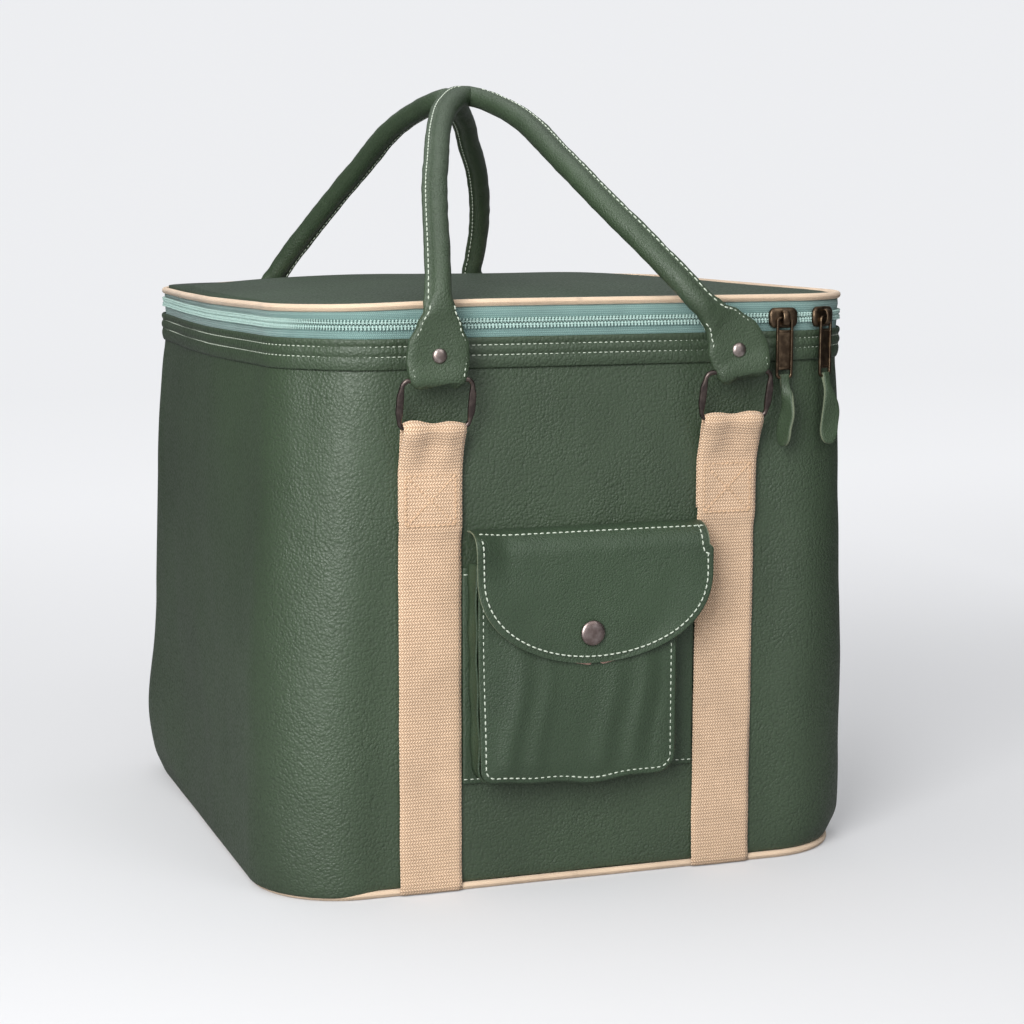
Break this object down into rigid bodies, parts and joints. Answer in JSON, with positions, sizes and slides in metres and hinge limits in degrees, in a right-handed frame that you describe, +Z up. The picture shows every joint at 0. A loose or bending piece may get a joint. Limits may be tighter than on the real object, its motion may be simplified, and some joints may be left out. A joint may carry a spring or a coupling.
{
  "type": "insulated cooler bag",
  "caption": "Soft leather cooler bag, box shaped with rounded corners, domed zip lid, two rolled handles on metal rings, webbing straps and a flap pocket.",
  "frame": {"origin": "middle of the underside, on the surface that the bag stands on", "axes": "+Z up; the pocket and the front handle face -Y; +X to the right seen from the front"},
  "size_m": [0.3788, 0.4189, 0.4756],
  "materials": {
    "green_leather": "pebbled, soft sheen",
    "natural_webbing": "woven, matt",
    "beige_piping": "cotton bias strip over cord",
    "teal_tape": "woven, matt",
    "teal_teeth": "moulded coil, satin",
    "lining": "coated, wipe-clean",
    "insulation": "closed-cell foam",
    "fibreboard": "raw",
    "dark_bronze": "antique bronze plate",
    "antique_brass": "antique, rubbed edges",
    "antique_silver": "antique silver plate",
    "core_cord": "twisted cotton"
  },
  "bodies": {
    "root": {"outer_shell": "green_leather", "bottom_panel": "green_leather", "base_board": "fibreboard", "base_foam": "insulation", "wall_foam": "insulation", "liner_tub": "lining", "hem_band": "green_leather", "zip_tape_lower": "teal_tape", "zip_teeth_lower": "teal_teeth", "hinge_strip": "green_leather", "bottom_piping": "beige_piping", "strap_front_left": "natural_webbing", "strap_front_right": "natural_webbing", "strap_rear_left": "natural_webbing", "strap_rear_right": "natural_webbing", "slip_pocket_panel": "green_leather", "pocket_front": "green_leather", "pocket_gusset": "green_leather", "snap_stud": "antique_silver", "snap_post": "antique_silver"},
    "lid": {"lid_panel": "green_leather", "lid_piping": "beige_piping", "lid_foam": "insulation", "lid_lining": "lining", "zip_tape_upper": "teal_tape", "zip_teeth_upper": "teal_teeth"},
    "pocket_flap": {"pocket_flap": "green_leather", "snap_cap": "antique_silver", "snap_socket": "antique_silver"},
    "ring_front_left": {"ring_front_left": "dark_bronze"},
    "ring_front_right": {"ring_front_right": "dark_bronze"},
    "ring_rear_left": {"ring_rear_left": "dark_bronze"},
    "ring_rear_right": {"ring_rear_right": "dark_bronze"},
    "handle_front": {"handle_front": "green_leather", "handle_front_core": "core_cord", "rivet_front_left": "antique_silver", "rivet_front_right": "antique_silver"},
    "handle_rear": {"handle_rear": "green_leather", "handle_rear_core": "core_cord", "rivet_rear_left": "antique_silver", "rivet_rear_right": "antique_silver"},
    "zip_slider_left": {"zip_slider_left": "antique_brass"},
    "zip_pull_left": {"zip_pull_left": "antique_brass"},
    "pull_tag_left": {"pull_tag_left": "green_leather"},
    "zip_slider_right": {"zip_slider_right": "antique_brass"},
    "zip_pull_right": {"zip_pull_right": "antique_brass"},
    "pull_tag_right": {"pull_tag_right": "green_leather"}
  },
  "joints": [
    {"name": "lid_hinge", "type": "hinge", "parent": "root", "child": "lid", "pos_m": [0, 0.185, 0.3445], "axis": [-1, 0, 0], "range_deg": [0, 85], "deforming": ["handle_front", "handle_front_core", "handle_rear", "handle_rear_core", "rivet_rear_left", "rivet_rear_right"]},
    {"name": "flap_hinge", "type": "hinge", "parent": "root", "child": "pocket_flap", "pos_m": [0, -0.1861, 0.216], "axis": [-1, 0, 0], "range_deg": [0, 75]},
    {"name": "ring_front_left_hinge", "type": "hinge", "parent": "root", "child": "ring_front_left", "pos_m": [-0.093, -0.195, 0.277], "axis": [1, 0, 0], "range_deg": [0, 70]},
    {"name": "ring_front_right_hinge", "type": "hinge", "parent": "root", "child": "ring_front_right", "pos_m": [0.093, -0.195, 0.277], "axis": [1, 0, 0], "range_deg": [0, 70]},
    {"name": "handle_front_hinge", "type": "hinge", "parent": "ring_front_left", "child": "handle_front", "pos_m": [0, -0.20251, 0.30501], "axis": [1, 0, 0], "range_deg": [0, 115]},
    {"name": "ring_rear_left_hinge", "type": "hinge", "parent": "root", "child": "ring_rear_left", "pos_m": [-0.093, 0.195, 0.277], "axis": [-1, 0, 0], "range_deg": [0, 70]},
    {"name": "ring_rear_right_hinge", "type": "hinge", "parent": "root", "child": "ring_rear_right", "pos_m": [0.093, 0.195, 0.277], "axis": [-1, 0, 0], "range_deg": [0, 70]},
    {"name": "handle_rear_hinge", "type": "hinge", "parent": "ring_rear_left", "child": "handle_rear", "pos_m": [0, 0.20251, 0.30501], "axis": [-1, 0, 0], "range_deg": [0, 115]},
    {"name": "zip_slider_left_slide", "type": "slide", "parent": "root", "child": "zip_slider_left", "axis": [-1, 0, 0], "range_m": [0, 0.25], "deforming": ["pull_tag_left"]},
    {"name": "zip_pull_left_hinge", "type": "hinge", "parent": "zip_slider_left", "child": "zip_pull_left", "pos_m": [0.1285, -0.18965, 0.33515], "axis": [-1, 0, 0], "range_deg": [0, 160]},
    {"name": "pull_tag_left_hinge", "type": "hinge", "parent": "zip_pull_left", "child": "pull_tag_left", "pos_m": [0.1285, -0.18965, 0.29945], "axis": [-1, 0, 0], "range_deg": [0, 100]},
    {"name": "zip_slider_right_turn", "type": "hinge", "parent": "root", "child": "zip_slider_right", "pos_m": [0.1325, -0.13, 0.33515], "axis": [0, 0, 1], "range_deg": [0, 55]},
    {"name": "zip_pull_right_hinge", "type": "hinge", "parent": "zip_slider_right", "child": "zip_pull_right", "pos_m": [0.15865, -0.18361, 0.33515], "axis": [-0.8988, -0.4384, 0], "range_deg": [0, 160]},
    {"name": "pull_tag_right_hinge", "type": "hinge", "parent": "zip_pull_right", "child": "pull_tag_right", "pos_m": [0.15865, -0.18361, 0.29945], "axis": [-0.8988, -0.4384, 0], "range_deg": [0, 100]}
  ],
  "couplings": [
    {"joint": "ring_front_right_hinge", "follows": "ring_front_left_hinge", "ratio": 1},
    {"joint": "ring_rear_right_hinge", "follows": "ring_rear_left_hinge", "ratio": 1}
  ]
}
